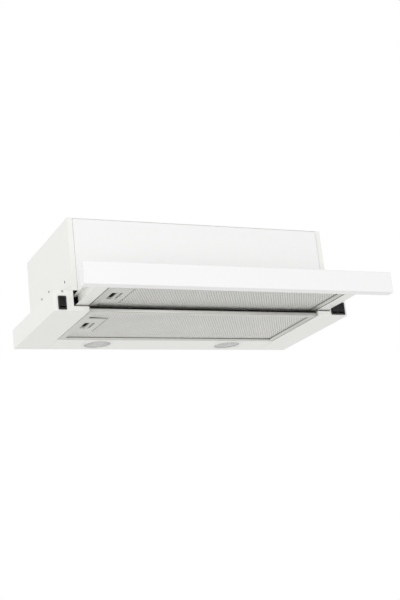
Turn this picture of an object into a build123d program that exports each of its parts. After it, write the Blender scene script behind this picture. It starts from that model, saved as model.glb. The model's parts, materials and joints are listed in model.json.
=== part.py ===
from build123d import *
import os
from math import cos, radians, sin

os.makedirs("parts", exist_ok=True)

# A built-in telescopic cooker hood, 60 cm wide, modelled with its tray pulled out. Millimetres.
# The origin is the middle of the cabinet screw pattern, on top of the two ears.
# +X is the hood's right, +Y its back, +Z up.

# Painted sheet
sheet = 1.0  # thickness of the casing's steel
seam = 0.4  # gap between two neighbouring panels
fold = 10.0  # width of a stiffening fold

# Base: two ears, the strips under them and the lamp panel
base_width = 598.0
base_depth = 262.0
ear_height = 38.0

# Upper box, which stands between the ears
body_width = 526.0
body_depth = 256.0
body_height = 137.0  # above the ears

# Cabinet screws through the ears' tops, and screws in the sides
cabinet_hole_radius = 2.25
cabinet_hole_inset = 18.0  # from the ear's outer side
cabinet_hole_pitch = 200.0  # front to back
screw_head_radius = 2.2
screw_head_height = 1.4
screw_shank_radius = 1.5
screw_shank_length = 8.0
screw_hole_play = 0.05
side_screws = ((130.0, 38.0), (175.0, 37.0))  # (behind the front, above the ears)
side_hole = (38.0, 27.0)
side_hole_radius = 2.8
ear_screw_inset = 17.0  # from the ear's outer side
ear_screw_drop = 0.1  # its head's edge, below the ear's top
ear_screw_head_height = 0.6  # low, so that the visor closes over it

# Grease filters, two alike
filter_width = 467.0
filter_depth = 188.0
filter_thickness = 9.0
filter_gap = 0.6  # to the lips round it
filter_setback = 3.0  # fixed filter, behind the front
rim = 12.0
foil = 0.8
mesh_skin = 0.6
hook_width = 14.0
hook_reach = 2.5
hook_thickness = 1.2
hook_inset = 40.0  # from the filter's front and rear
hook_play = 0.2

# Filter latch
latch_width = 37.0
latch_depth = 86.0
latch_offset = -6.0  # the plate's middle, from the filter's middle
latch_sheet = 1.0
pocket_inset = 16.5  # from the filter's left side
pocket_width = 19.5
pocket_depth = 36.0
pocket_offset = -3.0  # the pocket's middle, from the filter's middle
pocket_wall = 0.8
lever_width = 6.0
lever_play = 0.3
latch_travel = 3.0
bolt_width = 10.0
bolt_thickness = 1.4
bolt_play = 0.3

# Tray
tray_width = 516.0
tray_height = 20.0
tray_rise = 11.4  # its underside above the hood's underside
tray_travel = 144.0
runner_channel = 7.0  # depth of the runner's outer channel
tray_end = 6.0  # depth of the rear member
cover_overlap = 6.0  # the tray's cover reaches this far into the casing
glide_play = 0.3
glide_length = 12.0
glide_setback = 15.0
rail_setback = 12.0
rail_play = 0.4  # from the tray's side to the rail's flanges

# Visor
visor_height = 40.0
visor_depth = 18.0
visor_drop = 3.0  # below the hood's underside
visor_sheet = 1.2
visor_round = 2.5  # outer bend of its two front edges
visor_gap = 1.0  # to the front when the tray is in
visor_screw_radius = 2.0
visor_screw_head = 3.5
visor_screw_pitch = 130.0
visor_screw_count = 4

# Lamps
lamp_spacing = 284.4
lamp_inset = 40.0  # from the back
lamp_radius = 31.0
lamp_opening = 26.0
lamp_flange = 1.2
lamp_collar_wall = 1.8
lamp_collar = 8.0
lamp_play = 0.2
lens_recess = 0.8
lens_thickness = 2.5
cup_height = 21.0
cup_top_radius = 13.0
cup_wall = 1.0

# Rocker switches
switch_height = 25.0
switch_low = 2.2  # above the hood's underside
switch_flange = 1.5
switch_lip = 1.6  # the flange beyond the body
switch_body_depth = 18.0
light_switch_width = 15.0
light_switch_inset = 15.7  # its middle, from the ear's outer side
fan_switch_width = 31.0
fan_switch_inset = 19.4
rocker_margin = 2.2
rocker_divider = 2.0
rocker_play = 0.2
well_height = 18.8
well_depth = 13.0
rocker_half_height = 8.2
rocker_face = 5.5  # its two front edges, ahead of the pivot
rocker_dish = 4.2  # the middle of its face, ahead of the pivot
rocker_rear = 4.5  # its back, behind the pivot
rocker_pivot_depth = 3.0
rocker_throw = 20.0
rocker_pin_radius = 1.25
rocker_pin_reach = 0.8
pin_play = 0.06

# Blower
scroll_radius = 60.0
scroll_width = 100.0
scroll_wall = 2.0
scroll_clearance = 3.0  # above the ears' tops
outlet_depth = 74.0
inlet_radius = 44.0
outlet_flange = 16.0
spigot_behind_middle = 10.0
impeller_radius = 52.0
impeller_width = 86.0
blade_chord = 10.0
blade_thickness = 1.0
blade_count = 28
blade_angle = 35.0
hub_radius = 12.0
hub_length = 16.0
hub_disc = 2.0
ring_thickness = 2.0
shaft_radius = 4.0
shaft_length = 40.0
shaft_play = 0.05
motor_radius = 30.0
motor_length = 60.0
can_round = 3.0  # round on the ends of the motor and the capacitor
motor_start = 12.0  # from the impeller's middle
bracket_thickness = 4.0
bracket_ring = 4.0
bracket_arm = 9.0
bracket_arms = 3
bracket_play = 0.1
capacitor_radius = 14.0
capacitor_length = 60.0
capacitor_x = -130.0

# Duct spigot and non-return flaps
spigot_radius = 60.0
spigot_height = 30.0
spigot_wall = 2.0
spigot_flange = 8.0
spigot_flange_thickness = 2.0
top_hole_radius = 56.0
flap_height = 9.0  # the flaps' rod above the top panel
flap_thickness = 1.5
flap_play = 0.8
flap_ledge = 4.0
flap_ledge_thickness = 2.0
flap_lift = 0.3
rod_radius = 1.5
rod_play = 0.06
knuckle_radius = 3.0
knuckle_gap = 0.5
knuckle_count = 4

# Wiring
terminal_side_inset = 78.0  # its middle, from the box's right side
terminal_back_inset = 43.0  # and from the box's back
terminal_size = (74.0, 50.0, 30.0)
terminal_wall = 2.0
gland_radius = 11.0
gland_flange = 3.0
gland_stem_radius = 8.0
gland_bore = 4.0
gland_play = 0.2

# Places that several pieces share
half_base = base_width / 2
half_body = body_width / 2
front = -base_depth / 2
back = base_depth / 2
body_back = front + body_depth
underside = -ear_height
half_filter = filter_width / 2
lip_inside = half_filter + filter_gap
fixed_filter_front = front + filter_setback
lamp_panel_front = fixed_filter_front + filter_depth + filter_gap
half_tray = tray_width / 2
tray_underside = underside + tray_rise
tray_top = tray_underside + tray_height
visor_back = front - visor_gap - tray_travel
visor_front = visor_back - visor_depth
tray_filter_front = visor_back + filter_gap
tray_side_end = tray_filter_front + filter_depth + filter_gap
web_outside = half_tray - runner_channel
rail_inside = half_tray + rail_play
latch_middle_shift = filter_depth / 2 + latch_offset
pocket_middle_shift = filter_depth / 2 + pocket_offset
hook_shifts = (hook_inset, filter_depth - hook_inset)
switch_middle = underside + switch_low + switch_height / 2
screw_shank_seat = screw_shank_radius + screw_hole_play
terminal_x = half_body - terminal_side_inset
terminal_y = body_back - terminal_back_inset


def block(x_span, y_span, z_span, mode=Mode.ADD):
    # A block between two opposite corners, added to the open part or cut from it.
    spans = [sorted(span) for span in (x_span, y_span, z_span)]
    middle = tuple((low + high) / 2 for low, high in spans)
    with Locations(Location(middle)):
        Box(*(high - low for low, high in spans), mode=mode)


def strips(*corner_pairs):
    # The section of a folded sheet: one rectangle for each fold, between two opposite corners.
    for (x0, y0), (x1, y1) in corner_pairs:
        with Locations(((x0 + x1) / 2, (y0 + y1) / 2)):
            Rectangle(abs(x1 - x0), abs(y1 - y0))


def facing(x, y, z, sign):
    # A location on a side of the hood whose own Z points outwards, along sign * X.
    return Location((x, y, z), (0, 90 * sign, 0))


def screw_at(location, head_radius, head_height, shank_radius, shank_length):
    # A pan-head screw: the location is under its head, with Z pointing out of the surface.
    with Locations(location):
        Cylinder(head_radius, head_height, align=(Align.CENTER, Align.CENTER, Align.MIN))
        Cylinder(shank_radius, shank_length, align=(Align.CENTER, Align.CENTER, Align.MAX))


def hook_slots(z_low, y_front):
    # Slots in a right-hand lip that the filter's hooks reach through.
    for shift in hook_shifts:
        block(
            (lip_inside, lip_inside + sheet),
            (y_front + shift - hook_width / 2 - filter_gap, y_front + shift + hook_width / 2 + filter_gap),
            (z_low + sheet, z_low + sheet + hook_play + 2 * hook_thickness + filter_gap),
            Mode.SUBTRACT,
        )


# ---- Casing: sides, skirts, rails and what is screwed to them ----

sides = (("left", -1), ("right", 1))
ear_screw_x = half_base - ear_screw_inset
ear_screw_z = -screw_head_radius - ear_screw_drop
cabinet_hole_x = half_base - cabinet_hole_inset
switch_places = {
    "left": (-(half_base - light_switch_inset), light_switch_width, ("light_rocker",)),
    "right": (half_base - fan_switch_inset, fan_switch_width, ("fan_rocker", "speed_rocker")),
}

for side, sign in sides:
    with BuildPart() as side_panel:
        block(
            (sign * (half_body - sheet), sign * half_body),
            (front, body_back),
            (underside + sheet, body_height - sheet),
        )
        block(
            (sign * (half_body - fold), sign * half_body),
            (front, front + sheet),
            (0, body_height - sheet),
        )
        for y_shift, z in side_screws:
            with Locations(facing(sign * half_body, front + y_shift, z, sign)):
                Hole(screw_shank_seat, sheet)
        with Locations(facing(sign * half_body, front + side_hole[0], side_hole[1], sign)):
            Hole(side_hole_radius, sheet)
    side_panel.part.label = f"{side}_side_panel"
    export_step(side_panel.part, f"parts/{side}_side_panel.step")

    switch_x, switch_width, _ = switch_places[side]
    with BuildPart() as skirt:
        # Ear top, outer side, underside strip and the lip beside the filter
        with BuildSketch(Plane.XZ.offset(-front)):
            strips(
                ((sign * half_body, -sheet), (sign * half_base, 0)),
                ((sign * (half_base - sheet), underside), (sign * half_base, 0)),
                ((sign * lip_inside, underside), (sign * half_base, underside + sheet)),
                ((sign * lip_inside, underside), (sign * (lip_inside + sheet), underside + filter_thickness)),
            )
        extrude(amount=-base_depth)
        # Front of the ear and the low fold beside it
        block((sign * half_body, sign * half_base), (front, front + sheet), (underside, 0))
        block(
            (sign * lip_inside, sign * (half_body - sheet)),
            (front, front + sheet),
            (underside, underside + filter_thickness),
        )
        # Rear wall and the step up to the box
        block((sign * lip_inside, sign * half_base), (back - sheet, back), (underside, 0))
        block((sign * lip_inside, sign * half_body), (body_back, back), (-sheet, 0))
        # Cabinet screw holes, the switch's opening and the screw above it
        for end in (-1, 1):
            with Locations(Location((sign * cabinet_hole_x, end * cabinet_hole_pitch / 2, 0))):
                Hole(cabinet_hole_radius, sheet)
        opening_half = switch_width / 2 - switch_lip + seam / 2
        opening_half_height = switch_height / 2 - switch_lip + seam / 2
        block(
            (switch_x - opening_half, switch_x + opening_half),
            (front, front + sheet),
            (switch_middle - opening_half_height, switch_middle + opening_half_height),
            Mode.SUBTRACT,
        )
        if sign > 0:
            hook_slots(underside, fixed_filter_front)
    skirt.part.label = f"{side}_skirt"
    export_step(skirt.part, f"parts/{side}_skirt.step")

    with BuildPart() as slide_rail:
        with BuildSketch(Plane.XZ.offset(-(front + rail_setback))):
            strips(
                ((sign * (half_body - 2 * sheet), tray_underside), (sign * (half_body - sheet), tray_top)),
                ((sign * rail_inside, tray_underside), (sign * (half_body - sheet), tray_underside + sheet)),
                ((sign * rail_inside, tray_top - sheet), (sign * (half_body - sheet), tray_top)),
            )
        extrude(amount=-(body_depth - rail_setback - fold))
    slide_rail.part.label = f"{side}_slide_rail"
    export_step(slide_rail.part, f"parts/{side}_slide_rail.step")

with BuildPart() as front_glides:
    for side, sign in sides:
        block(
            (sign * (web_outside + glide_play), sign * (half_body - 2 * sheet)),
            (front + glide_setback, front + glide_setback + glide_length),
            (tray_underside + sheet + glide_play, tray_top - sheet - glide_play),
        )
front_glides.part.label = "front_glides"
export_step(front_glides.part, "parts/front_glides.step")

# ---- Casing: fascia, rear, top and lamp panel ----

fascia_half = half_body - fold - seam
fascia_top = body_height - sheet - seam
with BuildPart() as front_fascia:
    with BuildSketch(Plane.YZ.offset(-fascia_half)):
        strips(
            ((front, 0), (front + sheet, fascia_top)),
            ((front, 0), (front + fold, sheet)),
            ((front, fascia_top - sheet), (front + fold, fascia_top)),
        )
    extrude(amount=2 * fascia_half)
front_fascia.part.label = "front_fascia"
export_step(front_fascia.part, "parts/front_fascia.step")

with BuildPart() as rear_panel:
    block(
        (-half_body + sheet, half_body - sheet),
        (body_back - sheet, body_back),
        (0, body_height - sheet),
    )
rear_panel.part.label = "rear_panel"
export_step(rear_panel.part, "parts/rear_panel.step")

scroll_axis_z = scroll_clearance + scroll_radius
spigot_y = (front + body_back) / 2 + spigot_behind_middle
scroll_axis_y = spigot_y - (scroll_radius - outlet_depth / 2)
outlet_front = scroll_axis_y + scroll_radius - outlet_depth
outlet_back = scroll_axis_y + scroll_radius
panel_under = body_height - sheet
blower_screw_x = scroll_width / 2 + outlet_flange / 2
blower_screw_ys = (outlet_front - outlet_flange / 2, outlet_back + outlet_flange / 2)
blower_screws_at = [(x, y) for x in (-blower_screw_x, blower_screw_x) for y in blower_screw_ys]

with BuildPart() as top_panel:
    with BuildSketch(Plane.XY.offset(panel_under)):
        with Locations((0, (front + body_back) / 2)):
            Rectangle(body_width, body_depth)
        with Locations((0, spigot_y)):
            Circle(top_hole_radius, mode=Mode.SUBTRACT)
        with Locations((terminal_x, terminal_y)):
            Circle(gland_stem_radius + gland_play, mode=Mode.SUBTRACT)
        with Locations(*blower_screws_at):
            Circle(screw_shank_seat, mode=Mode.SUBTRACT)
    extrude(amount=sheet)
top_panel.part.label = "top_panel"
export_step(top_panel.part, "parts/top_panel.step")

lamp_y = back - lamp_inset
lamp_hole_radius = lamp_opening + lamp_collar_wall + lamp_play
lamp_panel_half = lip_inside - seam
with BuildPart() as lamp_panel:
    with BuildSketch(Plane.YZ.offset(-lamp_panel_half)):
        strips(
            ((lamp_panel_front, underside), (lamp_panel_front + sheet, underside + filter_thickness)),
            ((lamp_panel_front, underside), (back, underside + sheet)),
            ((back - sheet, underside), (back, 0)),
            ((body_back - sheet, -sheet), (back, 0)),
        )
    extrude(amount=2 * lamp_panel_half)
    with BuildSketch(Plane.XY.offset(underside)):
        with Locations((-lamp_spacing / 2, lamp_y), (lamp_spacing / 2, lamp_y)):
            Circle(lamp_hole_radius)
    extrude(amount=sheet, mode=Mode.SUBTRACT)
lamp_panel.part.label = "lamp_panel"
export_step(lamp_panel.part, "parts/lamp_panel.step")

with BuildPart() as casing_screws:
    for side, sign in sides:
        for y_shift, z in side_screws:
            screw_at(
                facing(sign * half_body, front + y_shift, z, sign),
                screw_head_radius,
                screw_head_height,
                screw_shank_radius,
                screw_shank_length,
            )
        with Locations(Location((sign * ear_screw_x, front, ear_screw_z), (90, 0, 0))):
            Cylinder(
                screw_head_radius,
                ear_screw_head_height,
                align=(Align.CENTER, Align.CENTER, Align.MIN),
            )
casing_screws.part.label = "casing_screws"
export_step(casing_screws.part, "parts/casing_screws.step")

# ---- Lamps: bezel, glass and reflector cup ----

lens_low = underside + lens_recess
cup_low = lens_low + lens_thickness
for side, sign in sides:
    lamp_x = sign * lamp_spacing / 2
    with BuildPart() as bezel:
        with BuildSketch(Plane.XY.offset(underside - lamp_flange)):
            with Locations((lamp_x, lamp_y)):
                Circle(lamp_radius)
                Circle(lamp_opening, mode=Mode.SUBTRACT)
        extrude(amount=lamp_flange)
        with BuildSketch(Plane.XY.offset(underside)):
            with Locations((lamp_x, lamp_y)):
                Circle(lamp_opening + lamp_collar_wall)
                Circle(lamp_opening, mode=Mode.SUBTRACT)
        extrude(amount=lamp_collar)
        chamfer(bezel.edges().filter_by(GeomType.CIRCLE).sort_by(Axis.Z)[0:2], lamp_flange / 2)
    bezel.part.label = f"{side}_lamp_bezel"
    export_step(bezel.part, f"parts/{side}_lamp_bezel.step")

    with BuildPart() as lens:
        with BuildSketch(Plane.XY.offset(lens_low)):
            with Locations((lamp_x, lamp_y)):
                Circle(lamp_opening - lamp_play)
        extrude(amount=lens_thickness)
    lens.part.label = f"{side}_lamp_lens"
    export_step(lens.part, f"parts/{side}_lamp_lens.step")

    cup_radius = lamp_opening - lamp_play
    with BuildPart() as cup:
        with BuildSketch(Plane.XZ.offset(-lamp_y)):
            with BuildLine():
                Polyline(
                    (lamp_x, cup_low + cup_height),
                    (lamp_x + cup_top_radius, cup_low + cup_height),
                    (lamp_x + cup_radius, cup_low),
                    (lamp_x + cup_radius - cup_wall, cup_low),
                    (lamp_x + cup_top_radius - cup_wall, cup_low + cup_height - cup_wall),
                    (lamp_x, cup_low + cup_height - cup_wall),
                    close=True,
                )
            make_face()
        revolve(axis=Axis((lamp_x, lamp_y, 0), (0, 0, 1)))
    cup.part.label = f"{side}_lamp_cup"
    export_step(cup.part, f"parts/{side}_lamp_cup.step")

# ---- Rocker switches in the ears' fronts ----

well_middle_y = front + rocker_pivot_depth
for side, sign in sides:
    switch_x, switch_width, rocker_names = switch_places[side]
    count = len(rocker_names)
    well_width = (switch_width - 2 * rocker_margin - (count - 1) * rocker_divider) / count
    well_pitch = well_width + rocker_divider
    well_xs = [switch_x + (i - (count - 1) / 2) * well_pitch for i in range(count)]
    body_half = switch_width / 2 - switch_lip
    body_half_height = switch_height / 2 - switch_lip
    with BuildPart() as housing:
        block(
            (switch_x - switch_width / 2, switch_x + switch_width / 2),
            (front - switch_flange, front),
            (switch_middle - switch_height / 2, switch_middle + switch_height / 2),
        )
        fillet(housing.edges().filter_by(Axis.Y), switch_flange)
        block(
            (switch_x - body_half, switch_x + body_half),
            (front, front + switch_body_depth),
            (switch_middle - body_half_height, switch_middle + body_half_height),
        )
        for well_x in well_xs:
            block(
                (well_x - well_width / 2, well_x + well_width / 2),
                (front - switch_flange, front + well_depth),
                (switch_middle - well_height / 2, switch_middle + well_height / 2),
                Mode.SUBTRACT,
            )
        pin_span = (count - 1) * well_pitch + well_width + 2 * rocker_pin_reach + rocker_play
        with Locations(Location((switch_x, well_middle_y, switch_middle), (0, 90, 0))):
            Cylinder(rocker_pin_radius + pin_play, pin_span, mode=Mode.SUBTRACT)
    housing.part.label = f"{side}_switch_housing"
    export_step(housing.part, f"parts/{side}_switch_housing.step")

    for rocker_name, well_x in zip(rocker_names, well_xs):
        rocker_width = well_width - 2 * rocker_play
        # The rocker stands with its upper half pressed in
        tilt = radians(-rocker_throw / 2)
        rocker_plane = Plane(
            origin=(well_x - rocker_width / 2, well_middle_y, switch_middle),
            x_dir=(0, cos(tilt), sin(tilt)),
            z_dir=(1, 0, 0),
        )
        with BuildPart() as rocker:
            with BuildSketch(rocker_plane):
                with BuildLine():
                    ThreePointArc(
                        (-rocker_face, rocker_half_height),
                        (-rocker_dish, 0),
                        (-rocker_face, -rocker_half_height),
                    )
                    Polyline(
                        (-rocker_face, -rocker_half_height),
                        (0, -rocker_half_height),
                        (rocker_rear, -rocker_half_height / 2),
                        (rocker_rear, rocker_half_height / 2),
                        (0, rocker_half_height),
                        (-rocker_face, rocker_half_height),
                    )
                make_face()
            extrude(amount=rocker_width)
            with Locations(Location((well_x, well_middle_y, switch_middle), (0, 90, 0))):
                Cylinder(rocker_pin_radius, rocker_width + 2 * rocker_pin_reach)
        rocker.part.label = rocker_name
        export_step(rocker.part, f"parts/{rocker_name}.step")

# ---- Grease filters: frame, perforated skins, latch plate and sliding latch lever ----

pocket_left = -half_filter + pocket_inset
pocket_right = pocket_left + pocket_width
plate_right = -half_filter + rim + latch_width
lever_right = pocket_right - latch_travel - lever_play
lever_left = lever_right - lever_width
skin_top = filter_thickness - foil - mesh_skin
pocket_ceiling = skin_top - pocket_wall
bolt_top = pocket_ceiling - bolt_play
bolt_tip = -half_filter - filter_gap / 2

for filter_name, y_front, z_low in (
    ("fixed", fixed_filter_front, underside),
    ("tray", tray_filter_front, tray_underside),
):
    y_rear = y_front + filter_depth
    z_high = z_low + filter_thickness
    plate_y = y_front + latch_middle_shift
    plate_span = (plate_y - latch_depth / 2, plate_y + latch_depth / 2)
    plate_low = z_low + foil / 2
    pocket_y = y_front + pocket_middle_shift
    pocket_span = (pocket_y - pocket_depth / 2, pocket_y + pocket_depth / 2)
    bolt_span = (pocket_y - bolt_width / 2, pocket_y + bolt_width / 2)
    bolt_slot_y = (bolt_span[0] - bolt_play, bolt_span[1] + bolt_play)
    bolt_slot_z = (z_low + bolt_top - bolt_thickness - bolt_play, z_low + bolt_top + bolt_play)

    with BuildPart() as filter_frame:
        block((-half_filter, half_filter), (y_front, y_rear), (z_low, z_high))
        block(
            (-half_filter + rim, half_filter - rim),
            (y_front + rim, y_rear - rim),
            (z_low, z_high),
            Mode.SUBTRACT,
        )
        block(
            (-half_filter + foil, half_filter - foil),
            (y_front + foil, y_rear - foil),
            (z_low + foil, z_high - foil),
            Mode.SUBTRACT,
        )
        for shift in hook_shifts:
            block(
                (half_filter - foil, half_filter + hook_reach),
                (y_front + shift - hook_width / 2, y_front + shift + hook_width / 2),
                (z_low + sheet + hook_play, z_low + sheet + hook_play + hook_thickness),
            )
        block((-half_filter, -half_filter + foil), bolt_slot_y, bolt_slot_z, Mode.SUBTRACT)
    filter_frame.part.label = f"{filter_name}_filter_frame"
    export_step(filter_frame.part, f"parts/{filter_name}_filter_frame.step")

    with BuildPart() as filter_mesh:
        for skin_low in (z_low + foil, z_high - foil - mesh_skin):
            block(
                (-half_filter + foil, half_filter - foil),
                (y_front + foil, y_rear - foil),
                (skin_low, skin_low + mesh_skin),
            )
        block(
            (-half_filter + foil, plate_right),
            plate_span,
            (z_low + foil, z_low + foil + mesh_skin),
            Mode.SUBTRACT,
        )
    filter_mesh.part.label = f"{filter_name}_filter_mesh"
    export_step(filter_mesh.part, f"parts/{filter_name}_filter_mesh.step")

    with BuildPart() as latch_plate:
        block((-half_filter + rim, plate_right), plate_span, (plate_low, plate_low + latch_sheet))
        block(
            (pocket_left - pocket_wall, pocket_right + pocket_wall),
            (pocket_span[0] - pocket_wall, pocket_span[1] + pocket_wall),
            (plate_low, z_low + skin_top),
        )
        block((pocket_left, pocket_right), pocket_span, (z_low, z_low + pocket_ceiling), Mode.SUBTRACT)
        block((pocket_left - pocket_wall, pocket_left), bolt_slot_y, bolt_slot_z, Mode.SUBTRACT)
    latch_plate.part.label = f"{filter_name}_latch_plate"
    export_step(latch_plate.part, f"parts/{filter_name}_latch_plate.step")

    with BuildPart() as latch_lever:
        block(
            (lever_left, lever_right),
            (pocket_span[0] + lever_play, pocket_span[1] - lever_play),
            (plate_low, z_low + bolt_top),
        )
        block(
            (bolt_tip, lever_left),
            bolt_span,
            (z_low + bolt_top - bolt_thickness, z_low + bolt_top),
        )
    latch_lever.part.label = f"{filter_name}_latch_lever"
    export_step(latch_lever.part, f"parts/{filter_name}_latch_lever.step")

# ---- Tray: runners, members, glides and visor ----

for side, sign in sides:
    with BuildPart() as runner:
        with BuildSketch(Plane.XZ.offset(-visor_back)):
            strips(
                (
                    (sign * lip_inside, tray_underside),
                    (sign * (lip_inside + sheet), tray_underside + filter_thickness),
                ),
                ((sign * lip_inside, tray_underside), (sign * half_tray, tray_underside + sheet)),
                ((sign * (web_outside - sheet), tray_underside), (sign * web_outside, tray_top)),
                ((sign * (web_outside - sheet), tray_top - sheet), (sign * half_tray, tray_top)),
            )
        extrude(amount=-(tray_side_end - visor_back))
        if sign > 0:
            hook_slots(tray_underside, tray_filter_front)
    runner.part.label = f"tray_{side}_runner"
    export_step(runner.part, f"parts/tray_{side}_runner.step")

visor_inside = visor_front + visor_sheet
with BuildPart() as tray_front_member:
    with BuildSketch(Plane.YZ.offset(-half_tray)):
        strips(
            ((visor_inside, tray_underside), (visor_inside + sheet, tray_top)),
            ((visor_inside, tray_underside), (visor_back, tray_underside + sheet)),
            ((visor_inside, tray_top - sheet), (visor_back, tray_top)),
        )
    extrude(amount=2 * half_tray)
tray_front_member.part.label = "tray_front_member"
export_step(tray_front_member.part, "parts/tray_front_member.step")

with BuildPart() as tray_rear_member:
    with BuildSketch(Plane.YZ.offset(-half_tray)):
        strips(
            ((tray_side_end, tray_underside), (tray_side_end + tray_end, tray_underside + sheet)),
            ((tray_side_end, tray_underside), (tray_side_end + sheet, tray_top)),
            ((tray_side_end, tray_top - sheet), (tray_side_end + tray_end, tray_top)),
        )
    extrude(amount=2 * half_tray)
tray_rear_member.part.label = "tray_rear_member"
export_step(tray_rear_member.part, "parts/tray_rear_member.step")

with BuildPart() as tray_cover:
    block((-half_tray, half_tray), (visor_back, front + cover_overlap), (tray_top, tray_top + sheet))
tray_cover.part.label = "tray_cover"
export_step(tray_cover.part, "parts/tray_cover.step")

# The rear glides stop on the front glides when the tray is right out
rear_glide_start = front + glide_setback + glide_length + glide_play
with BuildPart() as rear_glides:
    for side, sign in sides:
        block(
            (sign * web_outside, sign * half_tray),
            (rear_glide_start, tray_side_end),
            (tray_underside + sheet, tray_top - sheet),
        )
        block(
            (sign * half_tray, sign * (half_body - 2 * sheet - glide_play)),
            (rear_glide_start, tray_side_end),
            (tray_underside + sheet + glide_play, tray_top - sheet - glide_play),
        )
rear_glides.part.label = "rear_glides"
export_step(rear_glides.part, "parts/rear_glides.step")

visor_low = underside - visor_drop
with BuildPart() as visor:
    block((-half_base, half_base), (visor_front, visor_back), (visor_low, visor_low + visor_height))
    fillet(visor.edges().filter_by(Axis.X).group_by(Axis.Y)[0], visor_round)
    block(
        (-half_base + visor_sheet, half_base - visor_sheet),
        (visor_inside, visor_back),
        (visor_low + visor_sheet, visor_low + visor_height - visor_sheet),
        Mode.SUBTRACT,
    )
visor.part.label = "visor"
export_step(visor.part, "parts/visor.step")

with BuildPart() as visor_screws:
    with Locations(Plane.XZ.offset(-(visor_inside + sheet))):
        with GridLocations(visor_screw_pitch, 1, visor_screw_count, 1):
            with Locations((0, (tray_underside + tray_top) / 2, 0)):
                Cylinder(
                    visor_screw_head,
                    visor_screw_radius,
                    align=(Align.CENTER, Align.CENTER, Align.MAX),
                )
visor_screws.part.label = "visor_screws"
export_step(visor_screws.part, "parts/visor_screws.step")

# ---- Blower: scroll housing, motor on its bracket, shaft and impeller ----


def scroll_outline(radius, inset, top):
    # The round scroll and the outlet that rises from its rear half.
    with Locations((scroll_axis_y, scroll_axis_z)):
        Circle(radius)
    strips(((outlet_front + inset, scroll_axis_z), (outlet_back - inset, top)))


half_scroll = scroll_width / 2
with BuildPart() as blower_housing:
    with BuildSketch(Plane.YZ.offset(-half_scroll)):
        scroll_outline(scroll_radius, 0, panel_under)
    extrude(amount=scroll_width)
    block(
        (-half_scroll - outlet_flange, half_scroll + outlet_flange),
        (outlet_front - outlet_flange, outlet_back + outlet_flange),
        (panel_under - scroll_wall, panel_under),
    )
    with BuildSketch(Plane.YZ.offset(-half_scroll + scroll_wall)):
        scroll_outline(scroll_radius - scroll_wall, scroll_wall, panel_under)
    extrude(amount=scroll_width - 2 * scroll_wall, mode=Mode.SUBTRACT)
    with Locations(Location((0, scroll_axis_y, scroll_axis_z), (0, 90, 0))):
        Cylinder(inlet_radius, scroll_width, mode=Mode.SUBTRACT)
    with Locations(*[Location((x, y, panel_under)) for x, y in blower_screws_at]):
        Hole(screw_shank_seat, scroll_wall)
blower_housing.part.label = "blower_housing"
export_step(blower_housing.part, "parts/blower_housing.step")

with BuildPart() as blower_screws:
    for x, y in blower_screws_at:
        screw_at(
            Location((x, y, body_height)),
            screw_head_radius,
            screw_head_height,
            screw_shank_radius,
            screw_shank_length,
        )
blower_screws.part.label = "blower_screws"
export_step(blower_screws.part, "parts/blower_screws.step")

axis_turn = (0, 90, 0)
with BuildPart() as motor:
    motor_middle = motor_start + motor_length / 2
    with Locations(Location((motor_middle, scroll_axis_y, scroll_axis_z), axis_turn)):
        Cylinder(motor_radius, motor_length)
    fillet(motor.edges().filter_by(GeomType.CIRCLE), can_round)
    with Locations(Location((motor_start + shaft_length / 2, scroll_axis_y, scroll_axis_z), axis_turn)):
        Cylinder(shaft_radius + shaft_play, shaft_length, mode=Mode.SUBTRACT)
motor.part.label = "motor"
export_step(motor.part, "parts/motor.step")

with BuildPart() as motor_shaft:
    # From the impeller's hub to the far half of the motor
    shaft_from = -hub_length / 2
    shaft_to = motor_start + shaft_length - 2 * shaft_radius
    with Locations(Location(((shaft_from + shaft_to) / 2, scroll_axis_y, scroll_axis_z), axis_turn)):
        Cylinder(shaft_radius, shaft_to - shaft_from)
motor_shaft.part.label = "motor_shaft"
export_step(motor_shaft.part, "parts/motor_shaft.step")

with BuildPart() as motor_bracket:
    with BuildSketch(Plane.YZ.offset(half_scroll)):
        with Locations((scroll_axis_y, scroll_axis_z)):
            Circle(motor_radius + bracket_play + bracket_ring)
            with PolarLocations(0, bracket_arms, start_angle=90):
                with Locations(((motor_radius + inlet_radius + bracket_arm) / 2, 0)):
                    Rectangle(inlet_radius + bracket_arm - motor_radius, bracket_arm)
            Circle(motor_radius + bracket_play, mode=Mode.SUBTRACT)
    extrude(amount=bracket_thickness)
motor_bracket.part.label = "motor_bracket"
export_step(motor_bracket.part, "parts/motor_bracket.step")

blade_middle_radius = impeller_radius - blade_chord / 2
with BuildPart() as impeller:
    with Locations(Location((0, scroll_axis_y, scroll_axis_z), axis_turn)):
        Cylinder(impeller_radius, hub_disc)
        Cylinder(hub_radius, hub_length)
    with BuildSketch(Plane.YZ.offset(-impeller_width / 2)):
        with Locations((scroll_axis_y, scroll_axis_z)):
            with PolarLocations(blade_middle_radius, blade_count):
                Rectangle(blade_chord * cos(radians(blade_angle)), blade_thickness, rotation=blade_angle)
    extrude(amount=impeller_width)
    for end in (-1, 1):
        ring_x = end * (impeller_width - ring_thickness) / 2
        with Locations(Location((ring_x, scroll_axis_y, scroll_axis_z), axis_turn)):
            Cylinder(impeller_radius, ring_thickness)
            Cylinder(impeller_radius - blade_chord, ring_thickness, mode=Mode.SUBTRACT)
    with Locations(Location((0, scroll_axis_y, scroll_axis_z), axis_turn)):
        Cylinder(shaft_radius, hub_length, mode=Mode.SUBTRACT)
impeller.part.label = "impeller"
export_step(impeller.part, "parts/impeller.step")

with BuildPart() as motor_capacitor:
    with Locations(Location((capacitor_x, spigot_y, panel_under - capacitor_radius), (90, 0, 0))):
        Cylinder(capacitor_radius, capacitor_length)
    fillet(motor_capacitor.edges().filter_by(GeomType.CIRCLE), can_round)
motor_capacitor.part.label = "motor_capacitor"
export_step(motor_capacitor.part, "parts/motor_capacitor.step")

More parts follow.
